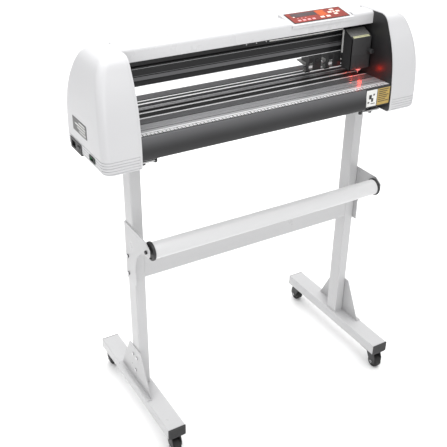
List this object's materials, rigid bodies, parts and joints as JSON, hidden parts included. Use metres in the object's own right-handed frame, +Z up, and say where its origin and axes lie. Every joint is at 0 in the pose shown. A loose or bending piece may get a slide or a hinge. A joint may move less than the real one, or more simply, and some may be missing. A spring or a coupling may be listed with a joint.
{
  "type": "vinyl cutter",
  "caption": "Floor-standing roll-fed vinyl cutter: a long cutting machine with rounded end caps on a steel stand with a roller and casters.",
  "frame": {"origin": "on the floor, under the middle of the stand", "axes": "+X along the machine to the operator's right, +Y towards the back, +Z up"},
  "size_m": [0.9308, 0.458, 1.0712],
  "materials": {
    "white_enamel": "smooth gloss powder coat",
    "white_housing": "fine satin moulding",
    "roller_white": "satin coated tube",
    "black_sheet": "satin black paint on sheet",
    "dark_extrusion": "ribbed dark anodised extrusion",
    "black_plastic": "moulded black plastic",
    "rubber": "dense rubber",
    "machined_alloy": "fine turned or brushed alloy",
    "bright_steel": "knurled or ground steel",
    "brass": "turned bronze",
    "laser_housing": "small turned lamp body",
    "keypad_film": "printed membrane film",
    "circuit_board": "board with fitted components",
    "flat_cable": "white ribbon"
  },
  "bodies": {
    "root": {"left_foot_bar": "white_enamel", "right_foot_bar": "white_enamel", "left_column": "white_enamel", "right_column": "white_enamel", "foot_gussets": "white_enamel", "roller_brackets": "white_enamel", "cross_beam": "white_enamel", "top_mounts": "white_enamel", "left_end_cap": "white_housing", "right_end_cap": "white_housing", "top_cover": "white_housing", "control_housing": "white_housing", "left_side_plate": "black_sheet", "right_side_plate": "black_sheet", "front_apron": "black_sheet", "base_tray": "black_sheet", "platen": "dark_extrusion", "rear_guide": "dark_extrusion", "beam": "dark_extrusion", "foot_end_caps": "black_plastic", "caster_stems": "black_plastic", "power_inlet": "black_plastic", "label_plate": "black_plastic", "cable_anchor": "black_plastic", "carriage_motor": "black_plastic", "feed_motor": "black_plastic", "drive_belt": "rubber", "cutting_strip": "rubber", "guide_rail": "machined_alloy", "stand_bolts": "bright_steel", "grit_bushes": "brass", "keypad_panel": "keypad_film", "control_board": "circuit_board", "flex_cable": "flat_cable"},
    "fork_front_left": {"caster_fork_front_left": "black_plastic"},
    "wheel_front_left": {"caster_wheel_front_left": "rubber"},
    "fork_front_right": {"caster_fork_front_right": "black_plastic"},
    "wheel_front_right": {"caster_wheel_front_right": "rubber"},
    "fork_rear_left": {"caster_fork_rear_left": "black_plastic"},
    "wheel_rear_left": {"caster_wheel_rear_left": "rubber"},
    "fork_rear_right": {"caster_fork_rear_right": "black_plastic"},
    "wheel_rear_right": {"caster_wheel_rear_right": "rubber"},
    "supply_roller": {"media_roller": "roller_white", "roller_end_plugs": "black_plastic"},
    "carriage": {"carriage_plate": "machined_alloy", "carriage_cover": "black_plastic", "laser_module": "laser_housing"},
    "drive_pulley": {"drive_pulley": "machined_alloy"},
    "idler_pulley": {"idler_pulley": "machined_alloy"},
    "feed_roller": {"grit_roller": "bright_steel", "shaft_coupler": "machined_alloy"},
    "pinch_unit_a": {"pinch_block_a": "black_plastic"},
    "pinch_arm_a": {"pinch_arm_a": "machined_alloy"},
    "pinch_wheel_a": {"pinch_wheel_a": "rubber"},
    "pinch_unit_b": {"pinch_block_b": "black_plastic"},
    "pinch_arm_b": {"pinch_arm_b": "machined_alloy"},
    "pinch_wheel_b": {"pinch_wheel_b": "rubber"},
    "tool": {"tool_holder": "machined_alloy"},
    "knob": {"clamp_knob": "black_plastic"},
    "rocker": {"power_rocker": "black_plastic"}
  },
  "joints": [
    {"name": "swivel_front_left", "type": "hinge", "parent": "root", "child": "fork_front_left", "pos_m": [-0.352, -0.193, 0.059], "axis": [0, 0, 1], "continuous": true},
    {"name": "roll_front_left", "type": "hinge", "parent": "fork_front_left", "child": "wheel_front_left", "pos_m": [-0.352, -0.209, 0.02], "axis": [1, 0, 0], "continuous": true},
    {"name": "swivel_front_right", "type": "hinge", "parent": "root", "child": "fork_front_right", "pos_m": [0.352, -0.193, 0.059], "axis": [0, 0, 1], "continuous": true},
    {"name": "roll_front_right", "type": "hinge", "parent": "fork_front_right", "child": "wheel_front_right", "pos_m": [0.352, -0.209, 0.02], "axis": [1, 0, 0], "continuous": true},
    {"name": "swivel_rear_left", "type": "hinge", "parent": "root", "child": "fork_rear_left", "pos_m": [-0.352, 0.193, 0.059], "axis": [0, 0, 1], "continuous": true},
    {"name": "roll_rear_left", "type": "hinge", "parent": "fork_rear_left", "child": "wheel_rear_left", "pos_m": [-0.352, 0.209, 0.02], "axis": [-1, 0, 0], "continuous": true},
    {"name": "swivel_rear_right", "type": "hinge", "parent": "root", "child": "fork_rear_right", "pos_m": [0.352, 0.193, 0.059], "axis": [0, 0, 1], "continuous": true},
    {"name": "roll_rear_right", "type": "hinge", "parent": "fork_rear_right", "child": "wheel_rear_right", "pos_m": [0.352, 0.209, 0.02], "axis": [-1, 0, 0], "continuous": true},
    {"name": "supply_roller_spin", "type": "hinge", "parent": "root", "child": "supply_roller", "pos_m": [0, -0.108, 0.585], "axis": [1, 0, 0], "continuous": true},
    {"name": "carriage_slide", "type": "slide", "parent": "root", "child": "carriage", "axis": [1, 0, 0], "range_m": [-0.65, 0], "deforming": ["flex_cable"]},
    {"name": "drive_pulley_turn", "type": "hinge", "parent": "root", "child": "drive_pulley", "pos_m": [0.399, 0.048, 1.022], "axis": [0, 0, 1], "continuous": true},
    {"name": "idler_pulley_turn", "type": "hinge", "parent": "root", "child": "idler_pulley", "pos_m": [-0.399, 0.048, 1.022], "axis": [0, 0, 1], "continuous": true},
    {"name": "feed_roller_spin", "type": "hinge", "parent": "root", "child": "feed_roller", "pos_m": [0, 0.058, 0.881], "axis": [1, 0, 0], "continuous": true},
    {"name": "pinch_slide_a", "type": "slide", "parent": "root", "child": "pinch_unit_a", "axis": [1, 0, 0], "range_m": [-0.53, 0.01]},
    {"name": "pinch_lift_a", "type": "hinge", "parent": "pinch_unit_a", "child": "pinch_arm_a", "pos_m": [0.215, 0.034, 0.918], "axis": [1, 0, 0], "range_deg": [-15, 0]},
    {"name": "pinch_spin_a", "type": "hinge", "parent": "pinch_arm_a", "child": "pinch_wheel_a", "pos_m": [0.215, 0.06228, 0.90518], "axis": [1, 0, 0], "continuous": true},
    {"name": "pinch_slide_b", "type": "slide", "parent": "root", "child": "pinch_unit_b", "axis": [1, 0, 0], "range_m": [-0.008, 0.045]},
    {"name": "pinch_lift_b", "type": "hinge", "parent": "pinch_unit_b", "child": "pinch_arm_b", "pos_m": [0.281, 0.034, 0.918], "axis": [1, 0, 0], "range_deg": [-15, 0]},
    {"name": "pinch_spin_b", "type": "hinge", "parent": "pinch_arm_b", "child": "pinch_wheel_b", "pos_m": [0.281, 0.06228, 0.90518], "axis": [1, 0, 0], "continuous": true},
    {"name": "tool_press", "type": "slide", "parent": "carriage", "child": "tool", "axis": [0, 0, 1], "range_m": [-0.0025, 0], "stiffness_N_per_m": 400, "springref_m": 0.004},
    {"name": "clamp_knob_turn", "type": "hinge", "parent": "carriage", "child": "knob", "pos_m": [0.356, -0.02, 0.96], "axis": [0, -1, 0], "range_deg": [0, 360]},
    {"name": "power_rocker_tip", "type": "hinge", "parent": "root", "child": "rocker", "pos_m": [-0.458, 0.03, 0.829], "axis": [0, 1, 0], "range_deg": [0, 14]}
  ],
  "couplings": [
    {"joint": "drive_pulley_turn", "follows": "carriage_slide", "rad_per_m": 93.023},
    {"joint": "idler_pulley_turn", "follows": "carriage_slide", "rad_per_m": 93.023}
  ]
}
